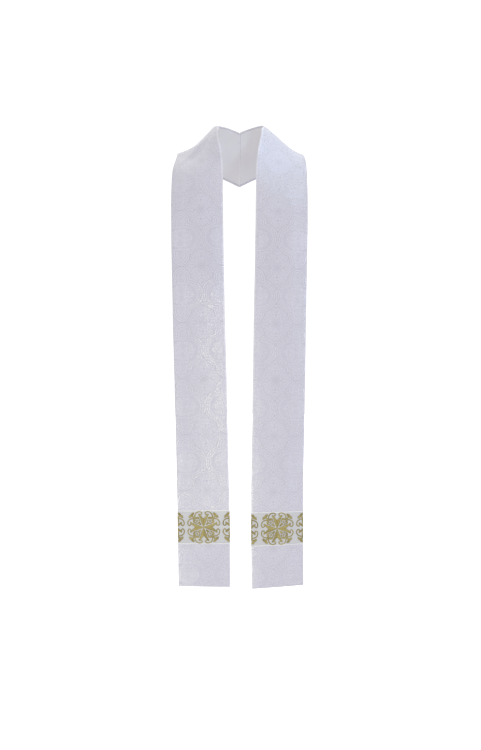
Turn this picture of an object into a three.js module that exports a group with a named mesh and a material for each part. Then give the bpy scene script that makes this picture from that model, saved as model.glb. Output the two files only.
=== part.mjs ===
// A priest's stole in its worn pose. Two long brocade panels meet in a mitred seam at the nape, pass
// over the shoulders and hang side by side down the front, and each carries one galloon band.
//
// Millimetres, +Z up. +X is the wearer's left and -Y the wearer's front. The origin is on the inside
// of the cloth at the top of the centre-back seam, where the stole rests on the nape.

import * as THREE from "three";

// The cut
const PANEL_WIDTH = 125;
const CLOTH_THICKNESS = 2.2; // brocade, interlining and lining, sewn together
const SEAM_GAP = 0.3; // between the two panels at the nape, and under the bands

// The bands
const BAND_HEIGHT = 81;
const BAND_ABOVE_HEM = { left: 100, right: 102.5 }; // sewn on by eye, not quite level
const BAND_THICKNESS = 1.2;

// How finely the cloth is divided
const CELLS_ACROSS = 12;
const SHOULDER_LENGTH = 260; // from the nape, over the shoulder
const SHOULDER_CELL = 7; // length of a cell along the panel, up to there
const HANGING_CELL = 21; // and below it
const BAND_CELLS = 6;

const BROCADE = { color: 0xcfcdda, roughness: 0.5, metalness: 0 };
const GALLOON = { color: 0xcfc8ac, roughness: 0.6, metalness: 0 };

// Sections across a panel, from the nape to the hem, the first ones the same on both panels. x, y, z is
// the middle of the section. fall is how far its arm edge drops below its neck edge and turn how far it
// is set back, both in degrees. bow is how far the middle of the cloth stands out from the straight line
// between the edges.
const BACK_SECTIONS = [
  { x: 0, y: 16, z: -66, fall: 77, turn: 90, bow: 5 }, // centre-back seam
  { x: 42, y: 12, z: -48, fall: 67, turn: 65, bow: 6 },
  { x: 77, y: -7, z: -38, fall: 54, turn: 47, bow: 6 },
];

const FRONT_SECTIONS = {
  left: [
    { x: 99, y: -37, z: -33, fall: 38, turn: 38, bow: 7 }, // beside the neck
    { x: 105.5, y: -74, z: -36, fall: 20, turn: 34, bow: 2 }, // top of the shoulder
    { x: 104, y: -113, z: -65, fall: 10, turn: 23, bow: 2 },
    { x: 102.5, y: -150, z: -110, fall: 7, turn: 8, bow: 4 },
    { x: 102, y: -177, z: -165, fall: 6, turn: 3, bow: 7 }, // chest
    { x: 101.5, y: -189, z: -235, fall: 4, turn: 1, bow: 8 },
    { x: 98, y: -191, z: -425, fall: 2, turn: 0, bow: 6 },
    { x: 94.5, y: -190, z: -665, fall: 1, turn: 0, bow: 5 },
    { x: 91, y: -188, z: -880, fall: -1, turn: 0, bow: 5 },
    { x: 91.7, y: -187, z: -1114, fall: -4.5, turn: 0, bow: 4 }, // hem
  ],
  right: [
    { x: 99, y: -37, z: -33, fall: 38, turn: 38, bow: 2 }, // beside the neck
    { x: 102.5, y: -73, z: -34.5, fall: 19, turn: 42, bow: -4.5 }, // top of the shoulder
    { x: 101, y: -113, z: -62, fall: 12, turn: 28, bow: -3 },
    { x: 101.5, y: -150, z: -109, fall: 5, turn: 10, bow: 3 },
    { x: 101.5, y: -177, z: -165, fall: 3.5, turn: 4, bow: 7 }, // chest
    { x: 101.2, y: -189, z: -235, fall: 2.5, turn: 1, bow: 8 },
    { x: 98, y: -191, z: -425, fall: 2, turn: 0, bow: 6 },
    { x: 92, y: -190, z: -665, fall: 1.5, turn: 0, bow: 5 },
    { x: 87, y: -188, z: -880, fall: 1, turn: 0, bow: 5 },
    { x: 83.3, y: -187, z: -1113, fall: -1, turn: 0, bow: 4 }, // hem
  ],
};

// Soft folds. Each runs straight in the flat cloth between two points. fromAlong and toAlong are
// measured from the nape, fromAcross and toAcross from the middle of the panel towards the arm. height
// is how far the fold stands out (hollows are negative) and reach is its half width. It fades out towards
// both ends.
const FOLDS = {
  left: [
    { fromAlong: 120, fromAcross: -14, toAlong: 204, toAcross: 82, height: -4.8, reach: 18 },
    { fromAlong: 294, fromAcross: 19, toAlong: 656, toAcross: 31, height: 1.6, reach: 16 },
    { fromAlong: 518, fromAcross: -32, toAlong: 942, toAcross: -16, height: -1.4, reach: 15 },
    { fromAlong: 855, fromAcross: 23, toAlong: 1305, toAcross: 11, height: 1.8, reach: 18 },
  ],
  right: [
    { fromAlong: 134, fromAcross: -32, toAlong: 254, toAcross: 52, height: 4.2, reach: 5.5 },
    { fromAlong: 142, fromAcross: -44, toAlong: 264, toAcross: 42, height: -3.4, reach: 8 },
    { fromAlong: 378, fromAcross: -27, toAlong: 802, toAcross: -37, height: 1.8, reach: 15 },
    { fromAlong: 665, fromAcross: 14, toAlong: 1015, toAcross: 32, height: -1.6, reach: 16 },
    { fromAlong: 966, fromAcross: -26, toAlong: 1304, toAcross: -8, height: 1.6, reach: 18 },
  ],
};

const clamp = THREE.MathUtils.clamp;
const radians = THREE.MathUtils.degToRad;

// Distance of each section from the nape, measured from middle to middle.
function stationsOf(sections) {
  const stations = [0];
  for (let i = 1; i < sections.length; i++) {
    const { x, y, z } = sections[i];
    const step = Math.hypot(x - sections[i - 1].x, y - sections[i - 1].y, z - sections[i - 1].z);
    stations.push(stations[i - 1] + step);
  }
  return stations;
}

// How fast a column changes at each section. The nearer neighbour counts for more, and both ends
// carry on the bend of their first stretch.
function slopesOf(values, stations) {
  const steps = stations.slice(1).map((station, i) => station - stations[i]);
  const rises = steps.map((step, i) => (values[i + 1] - values[i]) / step);
  const slopes = values.map((_, i) => {
    if (i === 0 || i === steps.length) return 0;
    return (rises[i - 1] * steps[i] + rises[i] * steps[i - 1]) / (steps[i - 1] + steps[i]);
  });
  const last = steps.length;
  slopes[0] = 1.5 * rises[0] - 0.5 * slopes[1];
  slopes[last] = 1.5 * rises[last - 1] - 0.5 * slopes[last - 1];
  return slopes;
}

// A smooth curve through one column of the sections, as a function of the distance from the nape.
// It gives the value and its rate of change.
function smoothColumn(sections, column) {
  const stations = stationsOf(sections);
  const values = sections.map((section) => section[column]);
  const slopes = slopesOf(values, stations);
  return (along) => {
    const next = stations.findIndex((station) => station > along);
    const i = next < 0 ? stations.length - 2 : Math.max(next - 1, 0);
    const step = stations[i + 1] - stations[i];
    const t = (along - stations[i]) / step;
    const rise = values[i + 1] - values[i];
    const value =
      values[i] + rise * t * t * (3 - 2 * t) + step * t * (1 - t) * (slopes[i] * (1 - t) - slopes[i + 1] * t);
    const rate =
      (6 * rise * t * (1 - t)) / step +
      slopes[i] * (1 - t) * (1 - 3 * t) +
      slopes[i + 1] * t * (3 * t - 2);
    return { value, rate };
  };
}

// Height of the folds at a point of the flat cloth.
function foldHeight(folds, along, across) {
  let height = 0;
  for (const fold of folds) {
    const runAlong = fold.toAlong - fold.fromAlong;
    const runAcross = fold.toAcross - fold.fromAcross;
    const length = Math.hypot(runAlong, runAcross);
    const dAlong = along - fold.fromAlong;
    const dAcross = across - fold.fromAcross;
    const position = (dAlong * runAlong + dAcross * runAcross) / length ** 2;
    const distance = (dAlong * runAcross - dAcross * runAlong) / length;
    const fade = Math.sin(Math.PI * clamp(position, 0, 1)) ** 2;
    height += fold.height * fade * Math.exp(-((distance / fold.reach) ** 2));
  }
  return height;
}

// One panel's cloth: its length, and the points of its inner face. across runs from -1 at the neck
// edge to +1 at the arm edge.
function makeCloth(side) {
  const sections = [...BACK_SECTIONS, ...FRONT_SECTIONS[side]];
  const folds = FOLDS[side];
  const mirror = side === "left" ? 1 : -1;
  const length = stationsOf(sections).at(-1);
  const [x, y, z, fall, turn, bow] = ["x", "y", "z", "fall", "turn", "bow"].map((column) =>
    smoothColumn(sections, column),
  );

  function innerPoint(along, across) {
    const middle = new THREE.Vector3(x(along).value, y(along).value, z(along).value);
    const ahead = new THREE.Vector3(x(along).rate, y(along).rate, z(along).rate).normalize();
    const dip = radians(fall(along).value);
    const set = radians(turn(along).value);
    const towardsArm = new THREE.Vector3(
      Math.cos(dip) * Math.cos(set),
      Math.cos(dip) * Math.sin(set),
      -Math.sin(dip),
    );
    const out = new THREE.Vector3().crossVectors(ahead, towardsArm);
    // A section that lies askew is longer, so that the panel keeps its width.
    const halfWidth = PANEL_WIDTH / 2 / out.length();
    out.normalize();
    const rise =
      bow(along).value * (1 - across * across) + foldHeight(folds, along, (across * PANEL_WIDTH) / 2);
    const point = middle.addScaledVector(towardsArm, halfWidth * across).addScaledVector(out, rise);
    // The seam at the nape lies in the mid-plane.
    point.x = along === 0 ? SEAM_GAP / 2 : Math.max(point.x, SEAM_GAP / 2);
    point.x *= mirror;
    return point;
  }

  return { length, mirror, innerPoint };
}

// The direction out of the cloth, square to its surface.
function outwardAt(cloth, along, across) {
  const near = 1; // mm along the panel
  const a = clamp(along, near, cloth.length - near);
  const c = clamp(across, -0.99, 0.99);
  const ahead = cloth.innerPoint(a + near, c).sub(cloth.innerPoint(a - near, c));
  const towardsArm = cloth.innerPoint(a, c + 0.01).sub(cloth.innerPoint(a, c - 0.01));
  return ahead.cross(towardsArm).multiplyScalar(cloth.mirror).normalize();
}

// A grid of points that stands `offset` off the inner face of the cloth.
function clothGrid(cloth, alongs, offset) {
  return alongs.map((along) => {
    const row = [];
    for (let i = 0; i <= CELLS_ACROSS; i++) {
      const across = (2 * i) / CELLS_ACROSS - 1;
      const point = cloth.innerPoint(along, across).addScaledVector(outwardAt(cloth, along, across), offset);
      if (along === 0) point.x = (cloth.mirror * SEAM_GAP) / 2;
      row.push(point);
    }
    return row;
  });
}

// A closed wall between two grids of points, with its four edges closed.
function wallGeometry(outer, inner, mirror) {
  const rows = outer.length;
  const columns = outer[0].length;
  const points = [...outer.flat(), ...inner.flat()];
  const at = (face, row, column) => (face * rows + row) * columns + column;
  const faces = [];
  const quad = (a, b, c, d) => {
    if (mirror > 0) faces.push(a, b, c, a, c, d);
    else faces.push(a, c, b, a, d, c);
  };
  for (let i = 0; i + 1 < rows; i++) {
    for (let j = 0; j + 1 < columns; j++) {
      quad(at(0, i, j), at(0, i + 1, j), at(0, i + 1, j + 1), at(0, i, j + 1));
      quad(at(1, i, j), at(1, i, j + 1), at(1, i + 1, j + 1), at(1, i + 1, j));
    }
    const last = columns - 1;
    quad(at(0, i, 0), at(1, i, 0), at(1, i + 1, 0), at(0, i + 1, 0));
    quad(at(0, i, last), at(0, i + 1, last), at(1, i + 1, last), at(1, i, last));
  }
  for (let j = 0; j + 1 < columns; j++) {
    const last = rows - 1;
    quad(at(0, 0, j), at(0, 0, j + 1), at(1, 0, j + 1), at(1, 0, j));
    quad(at(0, last, j), at(1, last, j), at(1, last, j + 1), at(0, last, j + 1));
  }
  const geometry = new THREE.BufferGeometry().setFromPoints(points);
  geometry.setIndex(faces);
  geometry.computeVertexNormals();
  return geometry;
}

// Even distances from `start` to `end`.
function evenSteps(start, end, cells) {
  return Array.from({ length: cells + 1 }, (_, i) => start + ((end - start) * i) / cells);
}

function makePanel(side, cloth) {
  const hanging = cloth.length - SHOULDER_LENGTH;
  const alongs = [
    ...evenSteps(0, SHOULDER_LENGTH, Math.round(SHOULDER_LENGTH / SHOULDER_CELL)),
    ...evenSteps(SHOULDER_LENGTH, cloth.length, Math.round(hanging / HANGING_CELL)).slice(1),
  ];
  const outer = clothGrid(cloth, alongs, CLOTH_THICKNESS);
  const inner = clothGrid(cloth, alongs, 0);
  const geometry = wallGeometry(outer, inner, cloth.mirror);
  const mesh = new THREE.Mesh(geometry, new THREE.MeshStandardMaterial(BROCADE));
  mesh.name = `panel_${side}`;
  return mesh;
}

// The galloon lies on the panel, so its points are the panel's own, moved out.
function makeGalloon(side, cloth) {
  const end = cloth.length - BAND_ABOVE_HEM[side];
  const alongs = evenSteps(end - BAND_HEIGHT, end, BAND_CELLS);
  const underside = CLOTH_THICKNESS + SEAM_GAP;
  const outer = clothGrid(cloth, alongs, underside + BAND_THICKNESS);
  const inner = clothGrid(cloth, alongs, underside);
  const geometry = wallGeometry(outer, inner, cloth.mirror);
  const mesh = new THREE.Mesh(geometry, new THREE.MeshStandardMaterial(GALLOON));
  mesh.name = `galloon_${side}`;
  return mesh;
}

const stole = new THREE.Group();
for (const side of ["left", "right"]) {
  const cloth = makeCloth(side);
  stole.add(makePanel(side, cloth), makeGalloon(side, cloth));
}

export default stole;
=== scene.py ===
"""The looks of a priest's stole in its worn pose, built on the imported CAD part.

Flat sizes are in millimetres. `along` runs down a panel from the centre-back seam and `across` from the
middle of the panel towards the arm. Cloth.surface() lays a flat point on the worn cloth, in metres.
"""

import functools
import itertools

import bmesh
import bpy
import numpy as np
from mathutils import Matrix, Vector


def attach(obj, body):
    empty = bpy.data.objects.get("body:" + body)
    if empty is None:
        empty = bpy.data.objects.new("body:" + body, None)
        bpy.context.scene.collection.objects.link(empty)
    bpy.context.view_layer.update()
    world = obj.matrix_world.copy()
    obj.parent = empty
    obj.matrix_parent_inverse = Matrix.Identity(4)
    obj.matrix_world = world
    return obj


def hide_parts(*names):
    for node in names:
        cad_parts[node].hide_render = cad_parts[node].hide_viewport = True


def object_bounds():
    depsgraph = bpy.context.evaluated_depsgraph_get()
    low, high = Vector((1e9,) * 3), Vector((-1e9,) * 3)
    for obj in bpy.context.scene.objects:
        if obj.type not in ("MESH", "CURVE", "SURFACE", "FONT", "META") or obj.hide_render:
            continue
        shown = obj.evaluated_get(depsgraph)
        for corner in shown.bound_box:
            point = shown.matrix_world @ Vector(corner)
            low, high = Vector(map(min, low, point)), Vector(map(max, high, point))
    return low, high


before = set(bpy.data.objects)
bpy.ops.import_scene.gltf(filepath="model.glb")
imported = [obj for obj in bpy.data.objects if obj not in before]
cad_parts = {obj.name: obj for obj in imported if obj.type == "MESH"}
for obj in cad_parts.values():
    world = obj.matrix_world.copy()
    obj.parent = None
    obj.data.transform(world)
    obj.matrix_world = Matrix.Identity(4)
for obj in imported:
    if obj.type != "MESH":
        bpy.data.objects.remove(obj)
CAD_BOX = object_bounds()

MM = 0.001

# The cut, as in the CAD part
PANEL_WIDTH = 125.0
CLOTH_THICKNESS = 2.2
SEAM_GAP = 0.3
BAND_HEIGHT = 81.0
BAND_ABOVE_HEM = {"left": 100.0, "right": 102.5}
HALF_WIDTH = PANEL_WIDTH / 2

# Sections across a panel, from the nape to the hem, as in the CAD part: the middle of the section in mm,
# then how far its arm edge drops and how far it is set back, in degrees, then the bow in mm.
SECTION_COLUMNS = ("x", "y", "z", "fall", "turn", "bow")
BACK_SECTIONS = [
    (0, 16, -66, 77, 90, 5),
    (42, 12, -48, 67, 65, 6),
    (77, -7, -38, 54, 47, 6),
]
FRONT_SECTIONS = {
    "left": [
        (99, -37, -33, 38, 38, 7),
        (105.5, -74, -36, 20, 34, 2),
        (104, -113, -65, 10, 23, 2),
        (102.5, -150, -110, 7, 8, 4),
        (102, -177, -165, 6, 3, 7),
        (101.5, -189, -235, 4, 1, 8),
        (98, -191, -425, 2, 0, 6),
        (94.5, -190, -665, 1, 0, 5),
        (91, -188, -880, -1, 0, 5),
        (91.7, -187, -1114, -4.5, 0, 4),
    ],
    "right": [
        (99, -37, -33, 38, 38, 2),
        (102.5, -73, -34.5, 19, 42, -4.5),
        (101, -113, -62, 12, 28, -3),
        (101.5, -150, -109, 5, 10, 3),
        (101.5, -177, -165, 3.5, 4, 7),
        (101.2, -189, -235, 2.5, 1, 8),
        (98, -191, -425, 2, 0, 6),
        (92, -190, -665, 1.5, 0, 5),
        (87, -188, -880, 1, 0, 5),
        (83.3, -187, -1113, -1, 0, 4),
    ],
}

# Soft folds, as in the CAD part: from (along, across) to (along, across), height and reach
FOLDS = {
    "left": [
        (120, -14, 204, 82, -4.8, 18),
        (294, 19, 656, 31, 1.6, 16),
        (518, -32, 942, -16, -1.4, 15),
        (855, 23, 1305, 11, 1.8, 18),
    ],
    "right": [
        (134, -32, 254, 52, 4.2, 5.5),
        (142, -44, 264, 42, -3.4, 8),
        (378, -27, 802, -37, 1.8, 15),
        (665, 14, 1015, 32, -1.6, 16),
        (966, -26, 1304, -8, 1.6, 18),
    ],
}

# Gentle unevenness of the hanging cloth: wave length along and across, height, phase
RIPPLES = [
    (310, 420, 0.60, 0.4),
    (173, -190, 0.40, 1.9),
    (97, 230, 0.24, 4.1),
    (61, -83, 0.13, 2.2),
    (37, 51, 0.07, 5.0),
]
RIPPLE_FADE = 120  # the ripples fade out over this length towards the seam

# Edges
ROLL = 1.0  # radius of the turned edges
ROLL_ANGLES = (8, 25, 45, 67)  # degrees round a turned edge at which there is a row of points
SOFT_DROP = 1.1  # how far the outer face sinks towards an edge
SOFT_REACH = 4.6  # and from how far away
PUCKER = 0.3  # depth of the small dents that the edge stitches make
PUCKER_PITCH = 6.0
PUCKER_REACH = 3.0  # how far in from the edge they fade
STRAIGHT_GRAIN_FROM = 300.0  # above here the pattern follows each thread's own length to the seam
PANEL_CELL = (2.6, 2.4)  # distance between points along and across

# Lining
LINING_INSET = 5.0
LINING_SPACE = 0.4  # depth that the brocade leaves for the lining
LINING_THICKNESS = 0.34
LINING_ABOVE_HEM = 9.0
LINING_FROM_SEAM = 0.3
LINING_ROLL = 0.5
LINING_CELL = (5.0, 4.0)
TURNING_STEP = (-0.8, 0.4)  # the turned-in brocade ends between these distances from the lining's edge

# Galloon
BAND_UNDERSIDE = CLOTH_THICKNESS + 0.05
BAND_GROUND = 0.7
BAND_OVERHANG = 0.4  # how far its ends stand past the panel's sides
BAND_ROLL = 0.35
BAND_CELL = (0.9, 2.0)
BAND_TURN = 1.4  # radius with which its ends turn down over the sides
BAND_TURN_DOWN = 1.2
BAND_REACH = 62.2  # the gold runs this far from the middle
SELVAGE_AT = 0.9  # middle of the raised selvage, from the band's edge
SELVAGE_REACH = 0.8
SELVAGE_HEIGHT = 0.4

# Embroidery
ROSETTE_REPEAT = 84.0
STITCH_BASE = 0.25  # height of the thinnest stroke
STITCH_DOME = 0.32  # and how it grows with the square root of the width
STROKE_SPACING = 1.1
LEAST_RINGS = 7
STROKE_TIP = 0.03  # how near its tips a stroke's first and last rings are, in radians of its length
STROKE_PROFILE = np.array([  # its section, as shares of its half width and of its height
    (-1, -0.2), (-0.92, 0.35), (-0.62, 0.8), (-0.22, 0.98),
    (0.22, 0.98), (0.62, 0.8), (0.92, 0.35), (1, -0.2),
])
SHADE_SEED = 7

# One quarter of a rosette, which is the same with x and y changed round: (x, y, width) along each
# stroke's middle, in mm from the rosette's centre
PETAL = [
    (0.4, 0.8, 0.9), (1.6, 7.0, 3.3), (2.7, 13.0, 5.9), (3.8, 18.5, 7.2),
    (5.6, 23.0, 6.2), (8.4, 27.0, 4.6), (10.9, 30.4, 3.4),
]
WEDGE = [(0.0, 1.2, 1.0), (0.0, 8.0, 4.4), (0.0, 14.0, 7.2), (0.0, 18.6, 7.4), (0.0, 21.8, 3.6)]
PETAL_BALL = (10.9, 30.6, 2.2)  # centre and radius
HOOK = [
    (20.4, 22.6, 3.0), (20.5, 28.6, 2.9), (17.4, 34.4, 2.7), (11.8, 37.6, 2.7),
    (6.6, 37.0, 2.7), (4.0, 34.0, 2.7), (5.6, 31.2, 2.8), (9.0, 30.6, 3.0),
]
LEAF_LOBE = [(29.0, 27.4, 4.4), (27.2, 30.6, 6.0), (24.8, 33.0, 5.4), (22.0, 34.0, 2.8)]
LEAF_STEM = [(20.4, 20.4, 3.0), (23.6, 23.6, 3.0), (26.8, 26.8, 4.2), (29.2, 29.2, 2.8)]
SPRIG = [(10.4, 19.8, 1.8), (12.6, 22.6, 4.6), (15.6, 23.2, 4.2), (19.6, 21.8, 2.8)]
SPUR = [(5.6, 5.6, 1.6), (7.6, 7.6, 4.4), (9.6, 9.5, 5.0), (11.6, 11.4, 2.6)]
FLOWER_AT = 15.2  # x and y of its centre
FLOWER_RING = (6.2, 1.9)  # radius and width of the line
RING_PARTS = 12
FLOWER_SPOKES = 5
FLOWER_TURN = 0.3  # radians by which the first spoke is turned
SPOKE_STATIONS = (0.3, 0.6, 0.95)  # shares of the ring's radius
SPOKE_WIDTH = 1.4
FLOWER_MIDDLE = 1.8

# Sewing. A slant is in radians from level, and a rise is how far a stitch's middle stands off its ends.
THREAD_RADIUS = 0.22
THREAD_SIDES = 6
THREAD_RINGS = 7
THREAD_TAPER = 0.9  # share of its section that a stitch loses at its ends
BAND_STITCH = 2.2
BAND_STITCH_PITCH = 3.5
BAND_STITCH_RISE = 0.25
BAND_STITCHES_FROM = -59.4
BAND_STITCHES_TO = 59.5
STITCH_INSET = 2.9
SLIP_STITCH = 2.4
SLIP_RISE = -0.3
SIDE_SLANT = 1.1
HEM_SLANT = 0.5
SIDE_STITCHES_FROM = 6.0
HEM_STITCHES_FROM = -54.0
HEM_STITCHES_TO = 55.0


def slopes_through(values, steps):
    """How fast a column changes at each station. Both ends carry on the bend of their first stretch."""
    rises = np.diff(values) / steps
    slopes = np.zeros(len(values))
    slopes[1:-1] = (rises[:-1] * steps[1:] + rises[1:] * steps[:-1]) / (steps[:-1] + steps[1:])
    slopes[0] = 1.5 * rises[0] - 0.5 * slopes[1]
    slopes[-1] = 1.5 * rises[-1] - 0.5 * slopes[-2]
    return slopes


def smooth_column(stations, values, at):
    """The value and rate of change of a smooth curve through a column of values."""
    slopes = slopes_through(values, np.diff(stations))
    i = np.clip(np.searchsorted(stations, at, side="right") - 1, 0, len(stations) - 2)
    step = stations[i + 1] - stations[i]
    t = (at - stations[i]) / step
    rise = values[i + 1] - values[i]
    before = slopes[i]
    after = slopes[i + 1]
    value = values[i] + rise * t * t * (3 - 2 * t) + step * t * (1 - t) * (before * (1 - t) - after * t)
    rate = 6 * rise * t * (1 - t) / step + before * (1 - t) * (1 - 3 * t) + after * t * (3 * t - 2)
    return value, rate


class Cloth:
    """One panel of cloth, laid as the CAD part lays it."""

    def __init__(self, side):
        self.side = side
        self.mirror = 1 if side == "left" else -1
        sections = np.array(BACK_SECTIONS + FRONT_SECTIONS[side], float)
        steps = np.linalg.norm(np.diff(sections[:, :3], axis=0), axis=1)
        self.stations = np.concatenate([[0.0], np.cumsum(steps)])
        self.length = self.stations[-1]
        self.values = dict(zip(SECTION_COLUMNS, sections.T))

    def _column(self, name, along):
        return smooth_column(self.stations, self.values[name], along)[0]

    def _middle(self, along):
        """The middle line of the inner face, and its direction."""
        columns = [smooth_column(self.stations, self.values[axis], along) for axis in "xyz"]
        middle = np.stack([value for value, rate in columns], axis=-1)
        ahead = np.stack([rate for value, rate in columns], axis=-1)
        return middle, ahead / np.linalg.norm(ahead, axis=-1, keepdims=True)

    def _fold_height(self, along, across):
        """The height of the soft folds."""
        height = np.zeros(np.broadcast(along, across).shape)
        for from_along, from_across, to_along, to_across, rise, reach in FOLDS[self.side]:
            run_along = to_along - from_along
            run_across = to_across - from_across
            length = np.hypot(run_along, run_across)
            d_along = along - from_along
            d_across = across - from_across
            position = (d_along * run_along + d_across * run_across) / length**2
            distance = (d_along * run_across - d_across * run_along) / length
            fade = np.sin(np.pi * np.clip(position, 0, 1)) ** 2
            height = height + rise * fade * np.exp(-((distance / reach) ** 2))
        return height

    def _inner(self, along, across):
        """Points of the inner face, in mm."""
        middle, ahead = self._middle(along)
        dip = np.radians(self._column("fall", along))
        back = np.radians(self._column("turn", along))
        level = np.cos(dip)
        towards_arm = np.stack([level * np.cos(back), level * np.sin(back), -np.sin(dip)], axis=-1)
        out = np.cross(ahead, towards_arm)
        skew = np.linalg.norm(out, axis=-1, keepdims=True)
        bow = self._column("bow", along) * (1 - (across / HALF_WIDTH) ** 2)
        rise = bow + self._fold_height(along, across)
        points = middle + towards_arm * (across[..., None] / skew) + out / skew * rise[..., None]
        points[..., 0] = np.maximum(points[..., 0], SEAM_GAP / 2) * self.mirror
        return points

    def surface(self, along, across, height):
        """Flat points that stand `height` off the inner face, on the worn cloth and in metres."""
        along, across, height = np.broadcast_arrays(
            np.asarray(along, float), np.asarray(across, float), np.asarray(height, float)
        )
        near_along = 1.0  # how far off the points lie that show which way the cloth faces
        near_across = 0.6
        down = np.clip(along, near_along, self.length - near_along)
        over = np.clip(across, near_across - HALF_WIDTH, HALF_WIDTH - near_across)
        ahead = self._inner(down + near_along, over) - self._inner(down - near_along, over)
        towards_arm = self._inner(down, over + near_across) - self._inner(down, over - near_across)
        out = np.cross(ahead, towards_arm) * self.mirror
        out /= np.linalg.norm(out, axis=-1, keepdims=True)
        lift = height + self._ripple(along, across)
        points = self._inner(along, across) + out * lift[..., None]
        points[..., 0] = np.maximum(points[..., 0] * self.mirror, SEAM_GAP / 2) * self.mirror
        return points * MM

    def _ripple(self, along, across):
        """The height of the ripples."""
        height = 0.0
        for wave_along, wave_across, rise, phase in RIPPLES:
            turn = 2 * np.pi * (along / wave_along + across / wave_across) + phase * self.mirror
            height = height + rise * np.sin(turn)
        return height * np.clip(along / RIPPLE_FADE, 0, 1)


# Meshes


def make_piece(name, points, faces, material, uv=None, shade=None):
    """A smooth-shaded mesh object. uv gives each vertex its flat place in mm, and shade its own tone."""
    mesh = bpy.data.meshes.new(name)
    mesh.from_pydata(points.reshape(-1, 3).tolist(), [], faces.tolist())
    if uv is not None:
        layer = mesh.uv_layers.new(name="flat")
        corners = np.empty(len(mesh.loops), np.int32)
        mesh.loops.foreach_get("vertex_index", corners)
        layer.data.foreach_set("uv", uv.reshape(-1, 2)[corners].astype(np.float32).ravel())
    if shade is not None:
        mesh.attributes.new("shade", "FLOAT", "POINT").data.foreach_set("value", shade.astype(np.float32))
    mesh.materials.append(material)
    mesh.polygons.foreach_set("use_smooth", np.ones(len(mesh.polygons), bool))
    mesh.update()
    piece = bpy.data.objects.new(name, mesh)
    bpy.context.scene.collection.objects.link(piece)
    return piece


def wall_faces(rows, columns, mirror):
    """Faces of a closed wall between an outer and an inner grid of points, its four edges closed."""
    index = np.arange(2 * rows * columns).reshape(2, rows, columns)
    outer, inner = index

    def quads(a, b, c, d):
        return np.stack([a, b, c, d], axis=-1).reshape(-1, 4)

    parts = [
        quads(outer[:-1, :-1], outer[1:, :-1], outer[1:, 1:], outer[:-1, 1:]),
        quads(inner[:-1, :-1], inner[:-1, 1:], inner[1:, 1:], inner[1:, :-1]),
        quads(outer[:-1, 0], inner[:-1, 0], inner[1:, 0], outer[1:, 0]),
        quads(outer[:-1, -1], outer[1:, -1], inner[1:, -1], inner[:-1, -1]),
        quads(outer[0, :-1], outer[0, 1:], inner[0, 1:], inner[0, :-1]),
        quads(outer[-1, :-1], inner[-1, :-1], inner[-1, 1:], outer[-1, 1:]),
    ]
    faces = np.concatenate(parts)
    return faces if mirror > 0 else faces[:, ::-1]


def rolled_steps(start, end, cell, radius):
    """Distances from start to end, with close steps where each end rolls under."""
    roll = radius * (1 - np.cos(np.radians(ROLL_ANGLES)))
    cells = max(2, round((end - start - 2 * radius) / cell))
    middle = np.linspace(start + radius, end - radius, cells + 1)
    return np.concatenate([start + roll, middle, (end - roll)[::-1]])


def rolled(distance, radius):
    """How much of its thickness a cloth has at a distance from its turned edge."""
    short = np.clip(distance / radius, 0, 1)
    return np.sqrt(np.clip(1 - (1 - short) ** 2, 0, 1))


def soft_drop(from_side):
    """How far a panel's outer face sinks at a distance from its side."""
    return SOFT_DROP * np.clip(1 - from_side / SOFT_REACH, 0, 1) ** 2


def smooth_step(low, high, value):
    """0 below low and 1 above high, with a smooth rise between."""
    t = np.clip((value - low) / (high - low), 0, 1)
    return t * t * (3 - 2 * t)


def straight_grain(points, along, length):
    """Distance of each grid point above the hem. Near the seam it is measured along its own thread."""
    above = np.broadcast_to(length - along[:, None], points.shape[:2]).copy()
    steps = np.linalg.norm(np.diff(points, axis=0), axis=-1) / MM
    for i in range(np.searchsorted(along, STRAIGHT_GRAIN_FROM) - 1, -1, -1):
        above[i] = above[i + 1] + steps[i]
    return above


def make_wall(name, cloth, along, across, outer_height, inner_height, material, level=0.0):
    """A closed sheet of cloth between two heights. Its uv is its place across and above a level, in mm."""
    rows = along[:, None]
    columns = across[None, :]
    outer = cloth.surface(rows, columns, outer_height)
    inner = cloth.surface(rows, columns, inner_height)
    above = straight_grain(outer, along, cloth.length)
    flat = np.stack([np.broadcast_to(columns, above.shape), above - level], axis=-1)
    faces = wall_faces(len(along), len(across), cloth.mirror)
    return make_piece(name, np.stack([outer, inner]), faces, material, np.stack([flat, flat]))


def panel_heights(cloth, along, across):
    """Outer and inner height of the brocade over the panel's grid."""
    from_side = HALF_WIDTH - np.abs(across[None, :])
    from_end = np.minimum(along, cloth.length - along)[:, None]
    from_edge = np.minimum(from_side, from_end)
    fullness = rolled(from_side, ROLL) * rolled(from_end, ROLL)
    dents = PUCKER * np.cos(np.pi * along[:, None] / PUCKER_PITCH) ** 2 * np.exp(-from_side / PUCKER_REACH)
    top = CLOTH_THICKNESS - soft_drop(from_side) - dents
    bottom = LINING_SPACE * smooth_step(*TURNING_STEP, from_edge - LINING_INSET)
    middle = (top + bottom) / 2
    return middle + (top - middle) * fullness, middle + (bottom - middle) * fullness


def make_panel(cloth, material):
    """The brocade: a soft sheet with rolled edges, turned in over the lining's edge."""
    along = rolled_steps(0, cloth.length, PANEL_CELL[0], ROLL)
    across = rolled_steps(-HALF_WIDTH, HALF_WIDTH, PANEL_CELL[1], ROLL)
    outer, inner = panel_heights(cloth, along, across)
    level = FIGURE_LEVEL[cloth.side]
    return make_wall(f"brocade_{cloth.side}", cloth, along, across, outer, inner, material, level)


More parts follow.
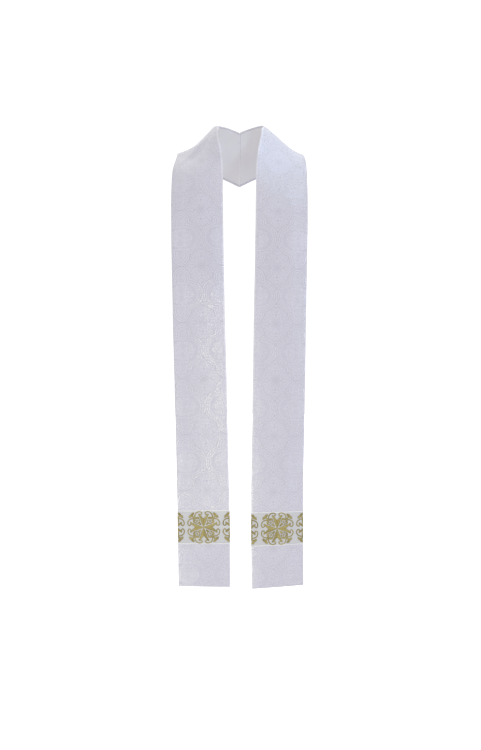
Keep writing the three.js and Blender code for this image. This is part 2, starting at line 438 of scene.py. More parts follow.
def make_lining(cloth, material):
    """The plain inner face, set in from the sides and the hem."""
    half = HALF_WIDTH - LINING_INSET
    end = cloth.length - LINING_ABOVE_HEM
    along = rolled_steps(LINING_FROM_SEAM, end, LINING_CELL[0], LINING_ROLL)
    across = rolled_steps(-half, half, LINING_CELL[1], LINING_ROLL)
    from_side = half - np.abs(across[None, :])
    from_end = np.minimum(along - LINING_FROM_SEAM, end - along)[:, None]
    middle = LINING_THICKNESS / 2
    thick = middle * rolled(from_side, LINING_ROLL) * rolled(from_end, LINING_ROLL)
    return make_wall(f"lining_{cloth.side}", cloth, along, across, middle + thick, middle - thick, material)


def make_band(cloth, material):
    """The galloon: a ribbon with raised selvages, its ends turned over the panel's sides."""
    end = cloth.length - BAND_ABOVE_HEM[cloth.side]
    start = end - BAND_HEIGHT
    half = HALF_WIDTH + BAND_OVERHANG
    along = rolled_steps(start, end, BAND_CELL[0], BAND_ROLL)
    across = rolled_steps(-half, half, BAND_CELL[1], BAND_ROLL)
    from_edge = np.minimum(along - start, end - along)[:, None]
    from_side = half - np.abs(across[None, :])
    selvage = SELVAGE_HEIGHT * np.exp(-(((from_edge - SELVAGE_AT) / SELVAGE_REACH) ** 2))
    turned_down = BAND_TURN_DOWN * (1 - rolled(from_side, BAND_TURN))
    middle = BAND_UNDERSIDE - soft_drop(from_side) - turned_down + BAND_GROUND / 2
    thick = BAND_GROUND / 2 * rolled(from_edge, BAND_ROLL) * rolled(from_side, BAND_ROLL)
    outer = middle + thick + selvage
    level = BAND_ABOVE_HEM[cloth.side]
    return make_wall(f"ribbon_{cloth.side}", cloth, along, across, outer, middle - thick, material, level)


def stroke(points):
    """A column of satin stitch with round ends: closed rings of points (x, y, height), and their uv.

    `points` are (x, y, width) along its middle.
    """
    points = np.array(points, float)
    steps = np.linalg.norm(np.diff(points[:, :2], axis=0), axis=1)
    stations = np.concatenate([[0.0], np.cumsum(steps)])
    length = stations[-1]
    count = max(LEAST_RINGS, round(length / STROKE_SPACING))
    at = length * (1 - np.cos(np.linspace(STROKE_TIP, np.pi - STROKE_TIP, count))) / 2
    (x, dx), (y, dy), (width, _) = (smooth_column(stations, column, at) for column in points.T)
    sideways = np.stack([-dy, dx], axis=-1) / np.hypot(dx, dy)[:, None]
    from_end = np.minimum(at, length - at)
    width = width * rolled(from_end, np.minimum(width / 2, length / 2))
    rise = STITCH_BASE + STITCH_DOME * np.sqrt(np.clip(width, 0, None))
    middle = np.stack([x, y], axis=-1)
    aside = STROKE_PROFILE[None, :, 0]
    rings = middle[:, None] + sideways[:, None] * (aside * width[:, None] / 2)[..., None]
    heights = STROKE_PROFILE[None, :, 1] * rise[:, None]
    uv = np.stack(np.broadcast_arrays(aside, at[:, None]), axis=-1)
    return np.concatenate([rings, heights[..., None]], axis=-1), uv


def ring_faces(rings, around):
    """Quads of a closed tube of rings; the first and last ring are closed by a fan of quads."""
    index = np.arange(rings * around).reshape(rings, around)
    after = np.roll(index, -1, axis=1)
    sides = np.stack([index[:-1], index[1:], after[1:], after[:-1]], axis=-1).reshape(-1, 4)
    caps = []
    for end, order in ((index[0], 1), (index[-1], -1)):
        for i in range(around // 2 - 1):
            caps.append([end[i], end[i + 1], end[-i - 2], end[-i - 1]][::order])
    return np.concatenate([sides, np.array(caps)])


def swapped(points):
    """The same stroke in the other half of a quarter, where x and y change places."""
    return [(y, x, width) for x, y, width in points]


def bead(x, y, radius):
    """A round dot, as a stroke's points."""
    return [(x + aside, y, 2 * radius) for aside in (-radius, 0, radius)]


def ring(x, y, radius, width):
    """A circle, as a stroke's points."""
    turns = np.linspace(0, 2 * np.pi, RING_PARTS + 1)
    return [(x + radius * np.cos(t), y + radius * np.sin(t), width) for t in turns]


def flower():
    """A small flower: a ring, a middle and the spokes between them."""
    strokes = [
        ring(FLOWER_AT, FLOWER_AT, *FLOWER_RING),
        bead(FLOWER_AT, FLOWER_AT, FLOWER_MIDDLE),
    ]
    reaches = np.array(SPOKE_STATIONS) * FLOWER_RING[0]
    for turn in np.linspace(0, 2 * np.pi, FLOWER_SPOKES + 1)[:-1] + FLOWER_TURN:
        xs = FLOWER_AT + reaches * np.cos(turn)
        ys = FLOWER_AT + reaches * np.sin(turn)
        strokes.append([(x, y, SPOKE_WIDTH) for x, y in zip(xs, ys)])
    return strokes


def rosette_quarter():
    """The strokes of the quarter of a rosette that lies at positive x and y, mm from its centre."""
    strokes = []
    for points in (PETAL, WEDGE, HOOK, LEAF_LOBE, SPRIG, bead(*PETAL_BALL)):
        strokes += [points, swapped(points)]
    return strokes + [LEAF_STEM, SPUR] + flower()


def lies_on_itself(points, flip_x, flip_y):
    """Whether a stroke on an axis, turned over that axis, would only cover its own first copy."""
    on_upright = all(x == 0 for x, _, _ in points)
    on_level = all(y == 0 for _, y, _ in points)
    return (on_upright and flip_x < 0) or (on_level and flip_y < 0)


def embroidery_strokes():
    """Rings, uv and shade of each stroke on a band: a whole rosette and what shows of its neighbours."""
    shades = np.random.default_rng(SHADE_SEED)
    made = []
    for points in rosette_quarter():
        rings, uv = stroke(points)
        for flip_x, flip_y, copy in itertools.product((1, -1), (1, -1), (-1, 0, 1)):
            if lies_on_itself(points, flip_x, flip_y):
                continue
            turned = rings * (flip_x, flip_y, 1) + (copy * ROSETTE_REPEAT, 0, 0)
            if np.abs(turned[..., 0]).min() > BAND_REACH:
                continue
            if flip_x * flip_y < 0:
                turned = turned[:, ::-1]
            made.append((turned, uv, shades.random()))
    return made


def cut_at_sides(mesh, reach):
    """Cuts a flat mesh off at x = -reach and x = reach, and closes the cuts."""
    work = bmesh.new()
    work.from_mesh(mesh)
    for side in (-1, 1):
        parts = work.verts[:] + work.edges[:] + work.faces[:]
        cut = bmesh.ops.bisect_plane(
            work, geom=parts, plane_co=(side * reach, 0, 0), plane_no=(side, 0, 0), clear_outer=True
        )
        edges = [part for part in cut["geom_cut"] if isinstance(part, bmesh.types.BMEdge)]
        bmesh.ops.holes_fill(work, edges=edges, sides=0)
    work.to_mesh(mesh)
    work.free()


def join_tubes(tubes, uvs):
    """Points, faces and uv of one mesh that holds every tube of rings."""
    faces = []
    count = 0
    for tube in tubes:
        rings, around = tube.shape[:2]
        faces.append(ring_faces(rings, around) + count)
        count += rings * around
    points = np.concatenate([tube.reshape(-1, 3) for tube in tubes])
    uv = np.concatenate([part.reshape(-1, 2) for part in uvs])
    return points, np.concatenate(faces), uv


def make_embroidery(cloth, material):
    """The gold figure of one band, made flat and then laid on the band."""
    tubes, uvs, tones = zip(*embroidery_strokes())
    points, faces, uv = join_tubes(tubes, uvs)
    shade = np.repeat(tones, [tube.shape[0] * tube.shape[1] for tube in tubes])
    piece = make_piece(f"embroidery_{cloth.side}", points, faces, material, uv, shade)
    cut_at_sides(piece.data, BAND_REACH)
    level = cloth.length - BAND_ABOVE_HEM[cloth.side] - BAND_HEIGHT / 2
    lay_on_cloth(piece, cloth, level, BAND_UNDERSIDE + BAND_GROUND)
    return piece


def lay_on_cloth(piece, cloth, level, base):
    """Moves a flat mesh (x across, y up, z off the cloth, in mm) on to the worn cloth."""
    mesh = piece.data
    flat = np.empty(len(mesh.vertices) * 3)
    mesh.vertices.foreach_get("co", flat)
    x, y, z = flat.reshape(-1, 3).T
    height = base - soft_drop(HALF_WIDTH - np.abs(x)) + z
    mesh.vertices.foreach_set("co", cloth.surface(level - y, x, height).ravel())
    if cloth.mirror < 0:
        mesh.flip_normals()
    mesh.update()


def stitch_rows(cloth):
    """(along, across, slant, length, base, rise) of every sewing stitch on a panel."""
    rows = []
    band_end = cloth.length - BAND_ABOVE_HEM[cloth.side]
    on_band = BAND_UNDERSIDE + BAND_GROUND
    for level in (band_end - BAND_HEIGHT + STITCH_INSET, band_end - STITCH_INSET):
        for across in np.arange(BAND_STITCHES_FROM, BAND_STITCHES_TO, BAND_STITCH_PITCH):
            rows.append((level, across, 0.0, BAND_STITCH, on_band, BAND_STITCH_RISE))
    lining_side = HALF_WIDTH - LINING_INSET
    lining_end = cloth.length - LINING_ABOVE_HEM
    for along in np.arange(SIDE_STITCHES_FROM, lining_end, PUCKER_PITCH):
        for side in (-1, 1):
            rows.append((along, side * lining_side, SIDE_SLANT, SLIP_STITCH, 0.0, SLIP_RISE))
    for across in np.arange(HEM_STITCHES_FROM, HEM_STITCHES_TO, PUCKER_PITCH):
        rows.append((lining_end, across, HEM_SLANT, SLIP_STITCH, 0.0, SLIP_RISE))
    return rows


def make_stitches(cloth, material):
    """Sewing thread: along both edges of the band, and the slip stitches that hold the lining."""
    t = np.linspace(-1, 1, THREAD_RINGS)[:, None]
    turns = np.linspace(0, 2 * np.pi, THREAD_SIDES + 1)[None, :-1]
    body = THREAD_RADIUS * np.sqrt(1 - THREAD_TAPER * t**2)
    aside = body * np.cos(turns)
    tubes, uvs = [], []
    for along, across, slant, length, base, rise in stitch_rows(cloth):
        run = t * length / 2
        down = along + run * np.sin(slant) + aside * np.cos(slant)
        over = across + run * np.cos(slant) - aside * np.sin(slant)
        height = base + rise * (1 - t**2) + body * np.sin(turns)
        tubes.append(cloth.surface(down, over, height))
        place = run + along + across  # so that no two stitches have the same mottle
        uvs.append(np.stack(np.broadcast_arrays(THREAD_RADIUS * np.cos(turns), place), axis=-1))
    points, faces, uv = join_tubes(tubes, uvs)
    return make_piece(f"stitches_{cloth.side}", points, faces[:, :: cloth.mirror], material, uv)


# Materials


class Field:
    """A number that varies over a surface, worked out by a material's nodes."""

    def __init__(self, tree, socket):
        self.tree = tree
        self.socket = socket

    def math(self, operation, *others):
        node = self.tree.nodes.new("ShaderNodeMath")
        node.operation = operation
        for slot, value in zip(node.inputs, (self, *others)):
            if isinstance(value, Field):
                self.tree.links.new(value.socket, slot)
            else:
                slot.default_value = value
        return Field(self.tree, node.outputs[0])

    def __add__(self, other):
        return self.math("ADD", other)

    def __sub__(self, other):
        return self.math("SUBTRACT", other)

    def __mul__(self, other):
        return self.math("MULTIPLY", other)

    def __neg__(self):
        return self.math("MULTIPLY", -1.0)

    def __abs__(self):
        return self.math("ABSOLUTE")

    def least(self, other):
        return self.math("MINIMUM", other)

    def most(self, other):
        return self.math("MAXIMUM", other)

    def sine(self):
        return self.math("SINE")

    def cosine(self):
        return self.math("COSINE")

    def pingpong(self, reach):
        """Runs from 0 to reach and back again."""
        return self.math("PINGPONG", reach)

    def flip(self):
        """1 less the number."""
        return -self + 1.0

    def raised(self, least):
        """A field of 0 to 1, squeezed to run from `least` to 1."""
        return self * (1 - least) + least

    def step(self, low, high):
        """0 below low and 1 above high, with a smooth rise between."""
        node = self.tree.nodes.new("ShaderNodeMapRange")
        node.interpolation_type = "SMOOTHSTEP"
        self.tree.links.new(self.socket, node.inputs["Value"])
        node.inputs["From Min"].default_value = low
        node.inputs["From Max"].default_value = high
        return Field(self.tree, node.outputs["Result"])


SOFTNESS = 0.45  # mm over which a figure's edge fades


def from_point(x, y, x0, y0):
    """Distance of (x, y) from a point."""
    dx = x - x0
    dy = y - y0
    return (dx * dx + dy * dy).math("SQRT")


def angle_about(x, y, x0, y0):
    return (y - y0).math("ARCTAN2", x - x0)


def line(distance, width):
    """1 on a line of that width where the distance is 0."""
    return abs(distance).step(width / 2 - SOFTNESS, width / 2 + SOFTNESS).flip()


def inside(distance):
    """1 where the distance is below 0."""
    return distance.step(-SOFTNESS, SOFTNESS).flip()


def strongest(fields):
    """The greatest of several fields at each place."""
    return functools.reduce(Field.most, fields)


def waves(field, length):
    """Runs from 0 to 1 and back over each `length` of the field."""
    return (field * (2 * float(np.pi) / length)).sine() * 0.5 + 0.5


def leaf(x, y, x0, y0, lean, length, width):
    """A pointed leaf with a vein, its middle at (x0, y0), leaning `lean` radians from upright."""
    dx = x - x0
    dy = y - y0
    along = dx * float(np.sin(lean)) + dy * float(np.cos(lean))
    across = abs(dx * float(np.cos(lean)) - dy * float(np.sin(lean)))
    taper = (along * along * (-4 / length**2) + 1.0) * (width / 2)
    return inside(across - taper) * across.step(*LEAF_VEIN)


# The brocade's figure: barbed quatrefoils on an upright lattice, in mm. Each (low, high) is where
# something fades in, and a strength runs from 0 to 1.
REPEAT_WIDTH = 98.4
REPEAT_HEIGHT = 134.4
FIGURE_AXIS = 39.9  # one upright axis of quatrefoils, from the middle of the panel
FIGURE_LEVEL = {"left": 160.0, "right": 164.5}  # one level of their middles, above the hem
SIDE_LOBE = (12.0, 0.0, 39.0)  # centre and radius
TOP_LOBE = (-6.0, 39.0, 27.6)
BORDER_FROM = (-14.0, -12.5)  # distances outside the quatrefoil's edge
BORDER_TO = (0.6, 1.6)
BORDER_DEPTH = 13.6
BORDER_SATIN = ((-1.6, 2.6), (-6.6, 2.2), (-11.6, 1.8))  # distance outside the edge, and width
BORDER_OUTLINES = ((0.9, 1.7), (-4.1, 1.3), (-9.1, 1.1))

LEAF_SIZE = 3.6
LEAF_LIGHT = (0.53, 0.6)
LEAF_DARK = (0.37, 0.45)
LEAF_VEIN = (0.1, 0.7)
LEAF_SATIN = 0.6  # strength of the light leaves
LEAF_OUTLINE = 0.55  # and of the dark gaps between them

MEDALLION = (5.0, 0.0, 24.5)  # centre and radius
MEDALLION_SCALLOPS = 9.0
SCALLOP_DEPTH = 1.2
MEDALLION_RIM = 1.2  # width of its outline
MEDALLION_RING = (0.6, 1.0)  # share of the radius, and width
MEDALLION_OUTLINE = 0.5
MEDALLION_SATIN = 0.5  # strength of its satin between its light leaves
PLAIN_TO = (24.0, 26.0)  # the plain ground around the medallion ends here, above and below it
PLAIN_OUTLINE = 0.35

BLOOM_RADIUS = 7.8
BLOOM_PETALS = 8.0
PETAL_STRENGTH = (0.6, 0.25)  # its mean, and how far it rises on a petal and falls between two
BLOOM_EYE = (1.6, 2.6)
EYE_STRENGTH = 0.7
BLOOM_HEART = (3.0, 0.85)  # radius and strength
BLOOM_OUTLINE = 0.9
DOT_RING = (11.2, 2.8)  # radius and width
DOTS = 10.0
DOT_ENDS = (-0.4, 0.4)
DOT_STRENGTH = 0.7
SEEDS = ((15.5, 0.0, 2.0), (0.0, 23.5, 2.2))  # centre and radius
INNER_LINE = (6.5, 1.1)  # distance outside the quatrefoil's edge, and width
INNER_DASHES = 22.0
DASH_ENDS = (-0.5, 0.2)
DASH_STRENGTH = 0.8
SPRIGS = ((27.0, 5.0, 1.1, 15.0, 5.0), (5.5, 31.0, 0.4, 14.0, 5.0))  # middle, lean, length and width
SPRIG_SATIN = 0.48


def brocade_figure(looks, across, above):
    """The figure's satin areas and its fine outlines, each 1 where it lies and 0 elsewhere."""
    x = (across - FIGURE_AXIS).pingpong(REPEAT_WIDTH / 2)
    y = above.pingpong(REPEAT_HEIGHT / 2)
    side = from_point(x, y, *SIDE_LOBE[:2]) - SIDE_LOBE[2]
    top = from_point(x, y, *TOP_LOBE[:2]) - TOP_LOBE[2]
    edge = side.least(top)
    leaves = looks.noise(x, y, LEAF_SIZE, 1.0)
    light = leaves.step(*LEAF_LIGHT)
    dark = leaves.step(*LEAF_DARK).flip()
    plain, disc, medallion_lines = medallion(x, y, side)
    flower, sprigs = field_figure(x, y, edge)
    in_border = edge.step(*BORDER_FROM) * edge.step(*BORDER_TO).flip()
    leafy = in_border.most(plain).flip()
    satin = [light * leafy * LEAF_SATIN, sprigs, disc * light.raised(MEDALLION_SATIN)]
    satin += [line(edge - place, width) for place, width in BORDER_SATIN]
    outline = [dark * leafy * LEAF_OUTLINE, flower, medallion_lines, plain * PLAIN_OUTLINE]
    outline += [line(edge - place, width) for place, width in BORDER_OUTLINES]
    return strongest(satin), strongest(outline)


def medallion(x, y, side):
    """The plain ground around the medallion, the medallion itself, and its outlines."""
    x0, y0, radius = MEDALLION
    r = from_point(x, y, x0, y0)
    turn = angle_about(x, y, x0, y0)
    rim = (turn * MEDALLION_SCALLOPS).cosine() * SCALLOP_DEPTH + (radius - SCALLOP_DEPTH)
    around = (r - rim).step(0.0, SCALLOP_DEPTH)
    plain = inside(side + BORDER_DEPTH) * around * y.step(*PLAIN_TO).flip()
    ring_share, ring_width = MEDALLION_RING
    lines = line(r - rim, MEDALLION_RIM).most(line(r - radius * ring_share, ring_width))
    return plain, inside(r - rim), lines * MEDALLION_OUTLINE


def field_figure(x, y, edge):
    """The dark flower between four quatrefoils with its seeds, and the sprigs around it."""
    fx = -x + REPEAT_WIDTH / 2
    fy = -y + REPEAT_HEIGHT / 2
    r = from_point(fx, fy, 0.0, 0.0)
    turn = angle_about(fx, fy, 0.0, 0.0)
    mean, swing = PETAL_STRENGTH
    petals = (turn * BLOOM_PETALS).cosine() * swing + mean
    bloom = inside(r - BLOOM_RADIUS) * petals * r.step(*BLOOM_EYE).raised(EYE_STRENGTH)
    heart_radius, heart_strength = BLOOM_HEART
    heart = inside(r - heart_radius) * heart_strength
    ring_radius, ring_width = DOT_RING
    dots = line(r - ring_radius, ring_width) * (turn * DOTS).cosine().step(*DOT_ENDS) * DOT_STRENGTH
    seeds = strongest([inside(from_point(fx, fy, x0, y0) - radius) for x0, y0, radius in SEEDS])
    place, width = INNER_LINE
    dashes = line(edge - place, width) * (turn * INNER_DASHES).sine().step(*DASH_ENDS) * DASH_STRENGTH
    flower = strongest([bloom, heart, dots, seeds, dashes]) * BLOOM_OUTLINE
    sprigs = strongest([leaf(fx, fy, *sprig) for sprig in SPRIGS])
    return flower, sprigs * SPRIG_SATIN


class Looks:
    """A material whose nodes are being put together around a Principled shader."""

    def __init__(self, name):
        self.material = bpy.data.materials.new(name)
        self.material.use_nodes = True
        self.tree = self.material.node_tree
        self.shader = self.tree.nodes["Principled BSDF"]

    def set(self, **values):
        for name, value in values.items():
            self.shader.inputs[name.replace("_", " ")].default_value = value

    def flat(self):
        """The surface's flat coordinates: across and above the hem, in mm."""
        uv = self.tree.nodes.new("ShaderNodeUVMap")
        uv.uv_map = "flat"
        parts = self.tree.nodes.new("ShaderNodeSeparateXYZ")
        self.tree.links.new(uv.outputs["UV"], parts.inputs["Vector"])
        return Field(self.tree, parts.outputs["X"]), Field(self.tree, parts.outputs["Y"])

    def noise(self, x, y, size, detail=2.0):
        """Soft noise from 0 to 1 over the flat cloth, its patches about `size` mm across."""
        place = self.tree.nodes.new("ShaderNodeCombineXYZ")
        self.tree.links.new(x.socket, place.inputs["X"])
        self.tree.links.new(y.socket, place.inputs["Y"])
        node = self.tree.nodes.new("ShaderNodeTexNoise")
        node.noise_dimensions = "2D"
        node.inputs["Scale"].default_value = 1 / size
        node.inputs["Detail"].default_value = detail
        self.tree.links.new(place.outputs["Vector"], node.inputs["Vector"])
        return Field(self.tree, node.outputs[0])

    def blend(self, amount, low, high):
        """A colour between low, where the amount is 0, and high, where it is 1."""
        node = self.tree.nodes.new("ShaderNodeMix")
        node.data_type = "RGBA"
        self.tree.links.new(amount.socket, node.inputs[0])
        for slot, colour in ((node.inputs[6], low), (node.inputs[7], high)):
            if isinstance(colour, bpy.types.NodeSocket):
                self.tree.links.new(colour, slot)
            else:
                slot.default_value = (*colour, 1)
        return node.outputs[2]

    def colour(self, socket):
        self.tree.links.new(socket, self.shader.inputs["Base Color"])

    def roughness(self, field):
        self.tree.links.new(field.socket, self.shader.inputs["Roughness"])

    def metallic(self, field):
        self.tree.links.new(field.socket, self.shader.inputs["Metallic"])

    def relief(self, height, depth):
        """Bumps of that depth in mm where the height is 1."""
        node = self.tree.nodes.new("ShaderNodeBump")
        node.inputs["Distance"].default_value = depth * MM
        self.tree.links.new(height.socket, node.inputs["Height"])
        self.tree.links.new(node.outputs["Normal"], self.shader.inputs["Normal"])


def threads(across, above, pitch):
    """The over-and-under of a plain weave, from 0 to 1."""
    turn = 2 * float(np.pi) / pitch
    return (across * turn).sine() * (above * turn).sine() * 0.5 + 0.5


# Colours are linear, and a pair of them is blended. A size, pitch or depth is in mm, a strength is how
# far a colour or finish goes at most, and a height is a share of the depth of a material's relief.
GRAIN_SIZE = 2.6
SLUB_SIZE = 2.1
GRAIN_STRETCH = 0.8
FINE_DETAIL = 3.0
PATCH_SIZE = 45.0
PATCH_STRETCH = 0.5
GROUND_COLOURS = ((0.54, 0.529, 0.598), (0.65, 0.637, 0.718))
SATIN_COLOUR = (0.76, 0.755, 0.80)
SATIN_STRENGTH = 0.32
OUTLINE_COLOUR = (0.43, 0.417, 0.475)
OUTLINE_STRENGTH = 0.56
WORN_THREADS = (0.35, 0.6)
WEAR_AND_HIGHLIGHT_SLUB_SHARE = 0.5  # the share of the worn outlines' colour, and of the painted edge highlight, that the slubs leave at least
# Painted highlight: the panel's inner edge is lighter where the turned edge catches the light, from and to
# these distances across
PAINTED_HIGHLIGHT_EDGE = (HALF_WIDTH - 4.4, HALF_WIDTH - 2.6)
PAINTED_HIGHLIGHT_THREADS = (0.35, 0.55)
PAINTED_HIGHLIGHT_STRENGTH = 0.9
GROUND_ROUGHNESS = 0.46
GRAIN_ROUGHNESS = 0.12
SATIN_SMOOTHNESS = 0.24
SATIN_METAL = 0.33
WEAVE_PITCH = 0.8
WEAVE_HEIGHT = 0.18
SATIN_HEIGHT = 0.3
OUTLINE_SINK = 0.35
GRAIN_HEIGHT = 0.6
SATIN_EVENNESS = 0.45  # how much lower the grain is on the satin
BROCADE_DEPTH = 0.26


def brocade_material():
    """Jacquard silk: matt ground, satin figure, fine dark outlines, a painted highlight on the inner edge.
    """
    looks = Looks("brocade")
    across, above = looks.flat()
    satin, outline = brocade_figure(looks, across, above)
    grain = looks.noise(across, above * GRAIN_STRETCH, GRAIN_SIZE, FINE_DETAIL)
    slubs = looks.noise(across * GRAIN_STRETCH, above, SLUB_SIZE, FINE_DETAIL)
    patches = looks.noise(across, above * PATCH_STRETCH, PATCH_SIZE, 1.0)
    ground = looks.blend(patches * 0.5 + grain * 0.6 + 0.05, *GROUND_COLOURS)
    # Painted highlight along the inner edge, broken up by the slubs, where the turned edge catches the light
    painted_edge_highlight = (-across).step(*PAINTED_HIGHLIGHT_EDGE) * slubs.step(*PAINTED_HIGHLIGHT_THREADS).raised(WEAR_AND_HIGHLIGHT_SLUB_SHARE)
    satin_and_edge_highlight = looks.blend((satin * SATIN_STRENGTH).most(painted_edge_highlight * PAINTED_HIGHLIGHT_STRENGTH), ground, SATIN_COLOUR)
    worn = slubs.step(*WORN_THREADS).raised(WEAR_AND_HIGHLIGHT_SLUB_SHARE)
    looks.colour(looks.blend(outline * worn * OUTLINE_STRENGTH, satin_and_edge_highlight, OUTLINE_COLOUR))
    looks.roughness(satin * -SATIN_SMOOTHNESS + grain * GRAIN_ROUGHNESS + GROUND_ROUGHNESS)
    looks.metallic(satin * SATIN_METAL)
    figure = satin * SATIN_HEIGHT - outline * OUTLINE_SINK
    woven = figure + threads(across, above, WEAVE_PITCH) * WEAVE_HEIGHT
    looks.relief(woven + grain * (satin * -SATIN_EVENNESS + GRAIN_HEIGHT), BROCADE_DEPTH)
    looks.set(Specular_IOR_Level=0.75, Sheen_Weight=0.1, Sheen_Roughness=0.4)
    return looks.material


RIBBON_COLOURS = ((0.56, 0.56, 0.575), (0.63, 0.63, 0.645))
SELVAGE_COLOUR = (0.82, 0.82, 0.83)
SELVAGE_FROM = (BAND_HEIGHT / 2 - 2.2, BAND_HEIGHT / 2 - 1.6)  # distances from the ribbon's middle
RIB_PITCH = 1.1
RIB_HEIGHT = 0.6
RIBBON_GRAIN = 2.0
RIBBON_GRAIN_HEIGHT = 0.8
RIBBON_DEPTH = 0.2


def galloon_material():
    """Ribbed ribbon, with a whiter selvage along both edges."""
    looks = Looks("galloon")
    across, above = looks.flat()
    selvage = abs(above - BAND_HEIGHT / 2).step(*SELVAGE_FROM)
    grain = looks.noise(across, above * 2.0, RIBBON_GRAIN)
    ground = looks.blend(grain, *RIBBON_COLOURS)
    looks.colour(looks.blend(selvage, ground, SELVAGE_COLOUR))
    looks.relief(waves(above, RIB_PITCH) * RIB_HEIGHT + grain * RIBBON_GRAIN_HEIGHT, RIBBON_DEPTH)
    looks.set(Roughness=0.6, Specular_IOR_Level=0.3, Sheen_Weight=0.1)
    return looks.material


GOLD_COLOURS = ((0.25, 0.2, 0.052), (0.54, 0.46, 0.175))
# Painted shade on the gold: darker at each stroke's sides, where it turns down, and in the grooves between
# its laid threads
GOLD_PAINTED_SHADE_COLOUR = (0.18, 0.14, 0.035)
GOLD_PAINTED_SHADE_SIDES = (0.6, 1.05)  # share of a stroke's half width over which its sides are darkened with painted shade, where the stroke turns down
GOLD_THREAD_PITCH = 0.55
GOLD_THREAD_LEAN = 0.5
GOLD_THREAD_STRENGTH = 0.75  # share of the body's colour left between two threads; the rest is painted shade in the groove
GOLD_THREAD_HEIGHT = 0.8
GOLD_MOTTLE = 2.8
GOLD_MOTTLE_HEIGHT = 0.4
GOLD_DEPTH = 0.12


def gold_material():
    """Rayon thread laid across each stroke: u runs across it from -1 to 1, v along it in mm."""
    looks = Looks("gold_embroidery")
    side, along = looks.flat()
    tone = looks.tree.nodes.new("ShaderNodeAttribute")
    tone.attribute_name = "shade"
    tone = Field(looks.tree, tone.outputs["Fac"])
    laid = waves(along + side * GOLD_THREAD_LEAN, GOLD_THREAD_PITCH)
    mottle = looks.noise(side * 1.5, along + tone * 40.0, GOLD_MOTTLE)  # another place for each stroke
    middle = abs(side).step(*GOLD_PAINTED_SHADE_SIDES).flip()
    body = looks.blend(mottle * 1.3 + tone * 0.6 - 0.5, *GOLD_COLOURS)
    # painted shade: the colour goes to the shade colour at the stroke's sides and between its threads
    looks.colour(looks.blend(middle * laid.raised(GOLD_THREAD_STRENGTH), GOLD_PAINTED_SHADE_COLOUR, body))
    looks.relief(laid * GOLD_THREAD_HEIGHT + mottle * GOLD_MOTTLE_HEIGHT, GOLD_DEPTH)
    looks.set(Roughness=0.42, Metallic=0.25, Specular_IOR_Level=0.6)
    return looks.material


LINING_COLOURS = ((0.74, 0.727, 0.76), (0.79, 0.777, 0.805))
TWILL_PITCH = 1.496
TWILL_LEAN = 0.6
TWILL_HEIGHT = 0.3
LINING_PATCH = 60.0
LINING_PATCH_STRETCH = 0.4
LINING_PATCH_HEIGHT = 2.0
LINING_DEPTH = 0.2


def lining_material():
    """Plain twill with soft, broad unevenness."""
    looks = Looks("lining")
    across, above = looks.flat()
    twill = waves(across + above * TWILL_LEAN, TWILL_PITCH)
    patches = looks.noise(across, above * LINING_PATCH_STRETCH, LINING_PATCH, 1.0)
    looks.colour(looks.blend(patches, *LINING_COLOURS))
    looks.relief(twill * TWILL_HEIGHT + patches * LINING_PATCH_HEIGHT, LINING_DEPTH)
    looks.set(Roughness=0.42, Sheen_Weight=0.1)
    return looks.material


THREAD_COLOURS = ((0.72, 0.71, 0.745), (0.83, 0.82, 0.85))
TWIST_PITCH = 0.45
TWIST_LEAN = 0.7
THREAD_MOTTLE = 1.8
THREAD_MOTTLE_HEIGHT = 0.4
THREAD_DEPTH = 0.05


def thread_material():
    """Twisted thread: u runs across it and v along it, in mm."""
    looks = Looks("sewing_thread")
    side, along = looks.flat()
    twist = waves(along + side * TWIST_LEAN, TWIST_PITCH)
    mottle = looks.noise(side, along, THREAD_MOTTLE)
    looks.colour(looks.blend(twist * 0.4 + mottle * 0.6, *THREAD_COLOURS))
    looks.relief(twist + mottle * THREAD_MOTTLE_HEIGHT, THREAD_DEPTH)
    looks.set(Roughness=0.5, Sheen_Weight=0.2)
    return looks.material


# Stage and lights

FLOOR_BELOW_HEM = 0.41
FLOOR_RADIUS = 40
FLOOR_SIDES = 96
FLOOR_COLOUR = (0.85, 0.85, 0.85)
FLOOR_GLOW = 0.7
CAMERA_AT = (0.0028, -4.69, -0.605)
CAMERA_LENS = 90.0
SENSOR = 36.0
BACKDROP = ((1.0, 1.0, 1.0), 1.1)  # colour and strength that the camera sees
FILL = ((1.0, 0.99, 0.982), 0.9)  # and that light the stole

# Name, place, target, size, watts, colour and spread in radians
LIGHTS = [
    ("window", (2.3, -3.2, -0.1), (0, -0.15, -0.7), (1.4, 2.6), 7.5, (0.46, 0.62, 1.0), np.pi),
    ("left_fill", (-1.75, -3.8, -0.3), (0, -0.15, -0.5), (0.4, 0.8), 2.7, (0.77, 0.77, 1.0), np.pi),
    ("glint", (-0.037, -0.75, -0.7), (-0.034, 0, -0.7), (0.09, 0.6), 0.0125, (1.0, 1.0, 0.6), 0.3),
    ("edge", (3.2, -2.2, -0.3), (0, -0.18, -0.4), (0.3, 1.6), 11, (0.64, 0.72, 1.0), np.pi),
    ("cool_side", (0.5, -0.75, 0.4), (0.085, -0.09, -0.06), (0.12, 0.12), 0.046, (0.51, 0.76, 1.0), 0.4),
    ("shoulder", (-0.43, -0.12, 0.85), (-0.093, -0.14, -0.085), (0.04, 0.06), 0.0005, (1.0, 1.0, 0.8), 0.12),
    ("top", (-0.05, 1.0, 1.3), (-0.03, -0.08, -0.06), (0.5, 0.5), 0.32, (1.0, 1.0, 0.9), 0.5),
    ("low", (-0.85, -1.25, -1.2), (0, -0.2, -0.86), (0.5, 0.3), 0.62, (1.0, 1.0, 0.8), 1.6),
    ("behind", (-0.6, 3.6, 0.2), (0, 0, -0.6), (2.6, 2.6), 10, (1.0, 1.0, 1.0), np.pi),
]


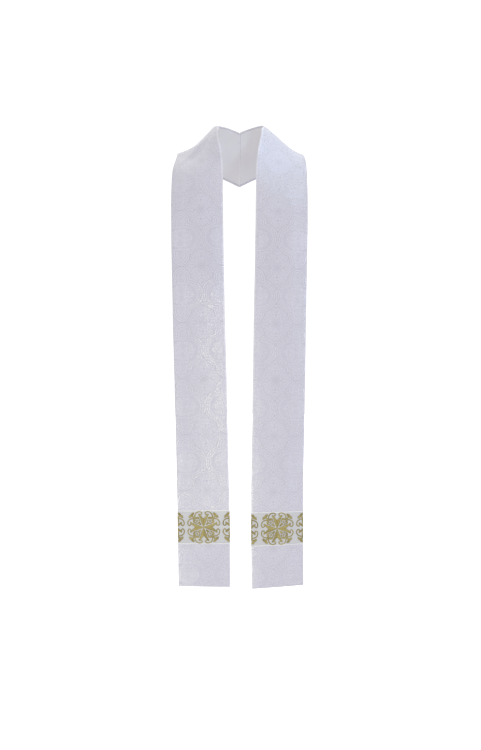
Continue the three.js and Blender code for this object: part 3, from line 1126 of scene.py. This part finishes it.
def make_floor():
    """A pale floor that the camera sees as bright as the backdrop."""
    bpy.ops.mesh.primitive_circle_add(vertices=FLOOR_SIDES, radius=FLOOR_RADIUS, fill_type="NGON")
    floor = bpy.context.object
    floor.name = "floor"
    floor.location.z = CAD_BOX[0].z - FLOOR_BELOW_HEM
    looks = Looks("floor")
    looks.set(Base_Color=(*FLOOR_COLOUR, 1), Roughness=0.9, Emission_Color=(1, 1, 1, 1))
    rays = looks.tree.nodes.new("ShaderNodeLightPath")
    glow = Field(looks.tree, rays.outputs["Is Camera Ray"]) * FLOOR_GLOW
    looks.tree.links.new(glow.socket, looks.shader.inputs["Emission Strength"])
    floor.data.materials.append(looks.material)


def make_camera():
    camera = bpy.data.cameras.new("camera")
    camera.lens = CAMERA_LENS
    camera.sensor_width = SENSOR
    rig = bpy.data.objects.new("camera", camera)
    rig.location = CAMERA_AT
    rig.rotation_euler = (np.pi / 2, 0, 0)
    bpy.context.scene.collection.objects.link(rig)
    bpy.context.scene.camera = rig


def make_light(name, place, target, size, watts, colour, spread):
    lamp = bpy.data.lights.new(name, "AREA")
    lamp.shape = "RECTANGLE"
    lamp.size, lamp.size_y = size
    lamp.energy = watts
    lamp.spread = spread
    lamp.color = colour
    rig = bpy.data.objects.new(name, lamp)
    rig.location = place
    aim = Vector(target) - Vector(place)
    rig.rotation_euler = aim.to_track_quat("-Z", "Y").to_euler()
    rig.visible_camera = False
    bpy.context.scene.collection.objects.link(rig)


def make_world():
    """A white backdrop for the camera, and a dimmer fill for everything else."""
    world = bpy.data.worlds.new("studio")
    world.use_nodes = True
    tree = world.node_tree
    fill = tree.nodes.new("ShaderNodeBackground")
    backdrop = tree.nodes["Background"]
    mix = tree.nodes.new("ShaderNodeMixShader")
    rays = tree.nodes.new("ShaderNodeLightPath")
    for node, (colour, strength) in ((backdrop, BACKDROP), (fill, FILL)):
        node.inputs["Color"].default_value = (*colour, 1)
        node.inputs["Strength"].default_value = strength
    tree.links.new(rays.outputs["Is Camera Ray"], mix.inputs[0])
    tree.links.new(fill.outputs[0], mix.inputs[1])
    tree.links.new(backdrop.outputs[0], mix.inputs[2])
    tree.links.new(mix.outputs[0], tree.nodes["World Output"].inputs["Surface"])
    bpy.context.scene.world = world


bpy.context.scene.view_settings.view_transform = "Standard"
make_floor()
make_camera()
make_world()
for light in LIGHTS:
    make_light(*light)

brocade = brocade_material()
lining = lining_material()
galloon = galloon_material()
gold = gold_material()
thread = thread_material()


def add_piece(piece, node=None):
    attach(piece, "root")
    if node:
        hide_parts(node)
    return piece


for side in ("left", "right"):
    cloth = Cloth(side)
    panel = add_piece(make_panel(cloth, brocade), f"panel_{side}")
    inside_sheet = add_piece(make_lining(cloth, lining))
    band = add_piece(make_band(cloth, galloon), f"galloon_{side}")
    figure = add_piece(make_embroidery(cloth, gold))
    stitches = add_piece(make_stitches(cloth, thread))
